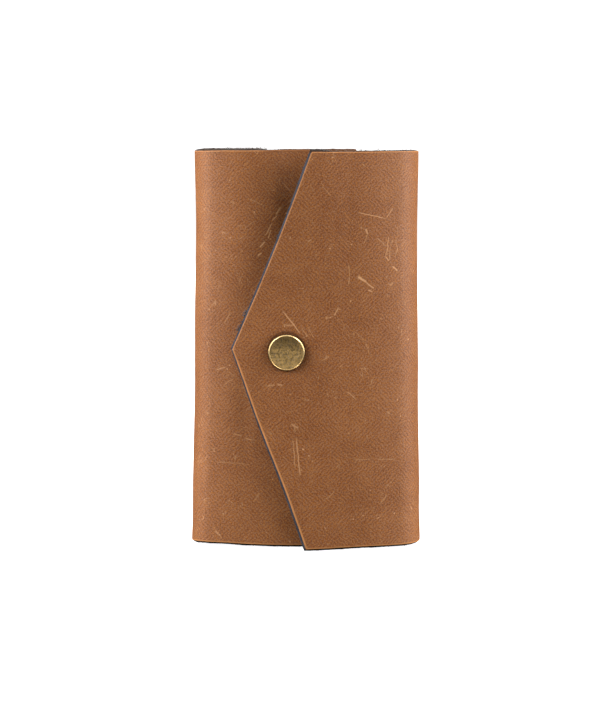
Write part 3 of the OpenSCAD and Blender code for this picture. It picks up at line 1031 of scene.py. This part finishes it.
def worn_metal(name, tones, shine, blot=1.0, crevice=None):
    """Metal between a dark and a bright tone, in blots and fine specks. shine is its least and most
    roughness, and blot the depth of its blots. crevice is the middle of a turned face, and the radii
    between which its edge is painted dark as shade."""
    material, wire, shader = new_finish(name, metallic=1.0)
    coords = wire.node("ShaderNodeTexCoord", {}, out="Object")
    blots = coords.grain(0.9 * mm, 3.0, 0.6)
    fine = coords.grain(0.22 * mm, 2.0, 0.6)
    lie = {"Vector": coords, "Scale": (0.25, 1, 1), "Rotation": (0.2, 0.4, 0.3)}
    rubs = coords.node("ShaderNodeMapping", {}, lie).grain(0.16 * mm, 2.0, 0.5)
    tone = (blots - 0.5) * 2.2 * blot + (fine - 0.5) * 2.4 * blot + (rubs - 0.5) * 0.6 + 0.5
    if crevice:
        centre, inner, outer = crevice
        arm = coords.from_point(centre)
        away = arm.node("ShaderNodeVectorMath", {"operation": "MULTIPLY"}, {0: arm, 1: (1, 0, 1)}).size()
        rings = away.node("ShaderNodeCombineXYZ", {}, {0: away}).grain(0.22 * mm, 2.0, 0.6)
        rim = away.step(inner - 0.46 * mm, inner - 0.32 * mm)
        tone = (tone + (rings - 0.5) * 0.9).step(0.0, 1.0)
        tarnished = tone.blend(*tarnish_tones)
        tarnish = coords.grain(0.5 * mm, 2.0, 0.6).step(0.5, 0.62) * 0.7
        colour = tarnish.blend(tone.blend(*tones), tarnished)
        colour = (rim * 0.85).blend(colour, rim_bright)
        tone = tone.most(rim * 0.6)
        # A painted shade: the cap's outer wall, where it meets the leather, is dark.
        colour = away.step(inner, outer).blend(colour, crevice_painted_shade)
    else:
        tone = tone.step(0.0, 1.0)
        colour = tone.blend(*tones)
    least, most = shine
    put(shader, "Base Color", colour)
    put(shader, "Roughness", most - tone * (most - least))
    put(shader, "Normal", (fine * 0.6 + rubs * 0.5).bump(0.3, 0.01 * mm))
    return material


def turned_piece(name, centre, base_y, profile, count=96):
    """A turned piece on an axis along Y: profile is radius and height toward the front, in millimetres."""
    verts = []
    for radius, height in profile:
        for k in range(count):
            angle = 2 * math.pi * k / count
            x = centre[0] + radius * mm * math.cos(angle)
            z = centre[1] + radius * mm * math.sin(angle)
            verts.append((x, base_y - height * mm, z))
    faces = []
    for ring in range(len(profile) - 1):
        for k in range(count):
            a = ring * count + k
            b = ring * count + (k + 1) % count
            faces.append([a, b, b + count, a + count])
    last = (len(profile) - 1) * count
    faces.append([last + k for k in range(count)])
    faces.append(list(reversed(range(count))))
    mesh = bpy.data.meshes.new(name)
    mesh.from_pydata(verts, [], faces)
    mesh.polygons.foreach_set("use_smooth", [True] * len(faces))
    piece = bpy.data.objects.new(name, mesh)
    bpy.context.scene.collection.objects.link(piece)
    return piece


cap_brass = worn_metal(
    "snap_cap_brass",
    (rgb(104, 86, 54), rgb(208, 168, 104)),
    (0.22, 0.4),
    blot=0.7,
    crevice=((snap_x, 0, snap_z), 4.86 * mm, 4.94 * mm),
)
cap_base = cap_low.y + 1.2 * mm
# The cap's outline, as radius and height in millimetres, from its skirt in to its middle.
skirt = [(4.4, -0.35), (4.85, -0.3), (4.97, -0.1), (5.0, 0.2), (5.0, 0.55), (4.98, 0.7), (4.93, 0.83)]
rolled_rim = [(4.84, 0.93), (4.76, 1.0), (4.69, 1.05), (4.6, 1.08), (4.56, 1.078), (4.545, 1.05)]
dish = [(4.535, 0.86), (4.52, 0.83), (4.5, 0.825), (4.2, 0.785), (3.7, 0.7), (3.0, 0.595), (2.2, 0.495)]
centre_ring = [(1.5, 0.43), (1.25, 0.415), (1.1, 0.405), (0.95, 0.42), (0.5, 0.44), (0.05, 0.445)]
cap_profile = skirt + rolled_rim + dish + centre_ring
cap = turned_piece("snap_cap_face", (snap_x, snap_z), cap_base, cap_profile)
cap.data.materials.append(cap_brass)
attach(cap, "front_flap")
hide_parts("snap_cap")

metal_pieces = [cap]


def plate(material, softness, *nodes):
    """Gives CAD pieces their metal, and rounds their edges by softness."""
    for name in nodes:
        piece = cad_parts[name]
        metal_pieces.append(piece)
        for held in piece.material_slots:
            held.material = material
        round_over = piece.modifiers.new("rounded_edges", "BEVEL")
        round_over.width = softness
        round_over.segments = 3
        round_over.limit_method = "ANGLE"
        round_over.angle_limit = math.radians(35)
        round_over.harden_normals = True


brass = worn_metal("antique_brass", (rgb(112, 92, 58), rgb(206, 168, 104)), (0.26, 0.42), blot=0.5)
plate(brass, 0.08 * mm, "snap_socket", "snap_stud")
spring_steel = worn_metal("spring_steel", (rgb(128, 128, 130), rgb(184, 184, 184)), (0.24, 0.36), blot=0.15)
plate(spring_steel, 0.03 * mm, "snap_spring")
nickel = worn_metal("nickel_plate", (rgb(172, 168, 160), rgb(212, 208, 198)), (0.34, 0.44), blot=0.12)
plate(nickel, 0.06 * mm, "snap_stud_post")

# Key rail
# A nickel-plated steel rail: a plate riveted to the back, over a closed channel that the hooks
# swivel in. Two domed brass caps close the rivets on the outside.
plate(nickel, 0.12 * mm, "key_rail")
plate(nickel, 0.15 * mm, "rail_rivet_posts")
plate(brass, 0.06 * mm, "rail_rivet_caps")

# Hooks
# Six cast hooks, nickel plated, each hanging on a headed stem. A sprung steel gate closes each
# one, and springs back behind its tip.
hook_count = sum(name.startswith("hook_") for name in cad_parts)
for number in range(1, hook_count + 1):
    plate(nickel, 0.1 * mm, f"swivel_{number}")
    plate(nickel, 0.3 * mm, f"hook_{number}")
    plate(spring_steel, 0.08 * mm, f"gate_{number}")


# Floor, light and camera
# A white floor and a white backdrop go on past the picture. Tall soft boxes at both sides light
# the leather's folds, and others its front and its back. The metal has soft boxes and cards of its
# own, because its curves mirror what stands round them.
def white_piece(name, verts, faces, paleness, glow):
    """A plain white piece, seen behind the case, that shines by itself and lights nothing."""
    mesh = bpy.data.meshes.new(name)
    mesh.from_pydata(verts, [], faces)
    paint, _, shader = new_finish(f"white_{name}")
    shader.inputs["Base Color"].default_value = (paleness, paleness, paleness, 1)
    shader.inputs["Roughness"].default_value = 0.9
    shader.inputs["Emission Color"].default_value = (1, 1, 1, 1)
    shader.inputs["Emission Strength"].default_value = glow
    mesh.materials.append(paint)
    piece = bpy.data.objects.new(name, mesh)
    bpy.context.scene.collection.objects.link(piece)
    piece.visible_glossy = False
    piece.visible_diffuse = False
    return piece


floor_reach = 2.5
floor_verts = [(x * floor_reach, y * floor_reach, 0) for x, y in ((-1, -1), (1, -1), (1, 1), (-1, 1))]
white_piece("floor", floor_verts, [[0, 1, 2, 3]], 0.85, 0.98)

dome_rings = 16
dome_sides = 32
dome_radius = 3.0
dome_verts = []
dome_faces = []
for ring in range(dome_rings + 1):
    down = math.pi * ring / dome_rings
    for k in range(dome_sides):
        turn = 2 * math.pi * k / dome_sides
        outward = (math.sin(down) * math.cos(turn), math.sin(down) * math.sin(turn), math.cos(down))
        dome_verts.append([dome_radius * share for share in outward])
for ring in range(dome_rings):
    for k in range(dome_sides):
        a = ring * dome_sides + k
        b = ring * dome_sides + (k + 1) % dome_sides
        dome_faces.append([a, b, b + dome_sides, a + dome_sides])
dome = white_piece("backdrop", dome_verts, dome_faces, 1.0, 1.2)
dome.visible_shadow = False
dome.visible_transmission = False

world = bpy.data.worlds.new("studio")
bpy.context.scene.world = world
world.use_nodes = True
direction = Wire(world.node_tree).node("ShaderNodeTexCoord", {}, out="Generated")
put(world.node_tree.nodes["Background"], "Color", direction.parts()[2].step(-0.45, 0.35) * 0.03 + 0.02)

for_metal = bpy.data.collections.new("metal_pieces")
for_the_rest = bpy.data.collections.new("all_but_metal")
for piece in metal_pieces:
    for_metal.objects.link(piece)
    for_the_rest.objects.link(piece)
for shown in for_the_rest.collection_objects:
    shown.light_linking.link_state = "EXCLUDE"

case_middle = Vector((0, 0, body_height / 2))


def soft_box(name, where, size, power, falls_on=None, faces_up=False):
    """A soft light that faces the case, or lies facing up. It falls on all, or only on the pieces named."""
    light = bpy.data.lights.new(name, "AREA")
    light.shape = "RECTANGLE"
    light.size = size[0]
    light.size_y = size[1]
    light.energy = power
    lamp = bpy.data.objects.new(name, light)
    lamp.location = where
    facing = Vector((0, 0, 1)) if faces_up else case_middle - Vector(where)
    lamp.rotation_euler = facing.to_track_quat("-Z", "Y").to_euler()
    lamp.visible_camera = False
    lamp.light_linking.receiver_collection = falls_on
    bpy.context.scene.collection.objects.link(lamp)


tall = (0.35, 0.75)
broad = (0.6, 0.8)
floor_card = (1.6, 1.0)
soft_box("left_box", (-0.78, -0.06, 0.34), tall, 5.8, for_the_rest)
soft_box("left_middle_box", (-0.73, -0.29, 0.34), tall, 4.8, for_the_rest)
soft_box("left_front_box", (-0.6, -0.5, 0.34), tall, 1.7, for_the_rest)
soft_box("right_box", (0.78, -0.06, 0.34), tall, 8.0, for_the_rest)
soft_box("right_middle_box", (0.73, -0.29, 0.34), tall, 3.8, for_the_rest)
soft_box("right_front_box", (0.6, -0.5, 0.34), tall, 1.1, for_the_rest)
soft_box("high_box", (-0.45, -0.45, 0.6), (0.5, 0.5), 1.5, for_the_rest)
soft_box("left_glint", (-0.74, -0.2, 0.38), broad, 5.2, for_metal)
soft_box("right_glint", (0.74, -0.2, 0.38), broad, 5.2, for_metal)
soft_box("top_card", (0, -0.5, 0.9), (1.6, 0.9), 5.5, for_metal)
soft_box("left_card", (-0.42, -0.55, 0.5), (0.25, 0.25), 2.5, for_metal)
soft_box("right_card", (0.42, -0.5, 0.5), (0.3, 0.3), 4.5, for_metal)
soft_box("front_card", (0, -1.2, 0.36), (1.6, 1.3), 4.2, for_metal)
soft_box("front_floor_card", (0, -0.55, 0.004), floor_card, 0.9, for_metal, faces_up=True)
soft_box("back_floor_card", (0, 0.55, 0.004), floor_card, 0.9, for_metal, faces_up=True)
soft_box("back_box", (0, 0.9, 0.5), (0.9, 0.7), 9.0)

camera_tilt = math.radians(6.6)
camera_distance = 0.59
camera_aim = Vector((-1.87, 0, 51.3)) * mm
camera = bpy.data.cameras.new("camera")
camera.sensor_width = 36
camera.lens = 107.5
camera.clip_start = 0.01
camera.clip_end = 20
viewer = bpy.data.objects.new("camera", camera)
back_off = Vector((0, -math.cos(camera_tilt), math.sin(camera_tilt)))
viewer.location = camera_aim + back_off * camera_distance
viewer.rotation_euler = (-back_off).to_track_quat("-Z", "Y").to_euler()
bpy.context.scene.collection.objects.link(viewer)
bpy.context.scene.camera = viewer
bpy.context.scene.view_settings.view_transform = "Standard"
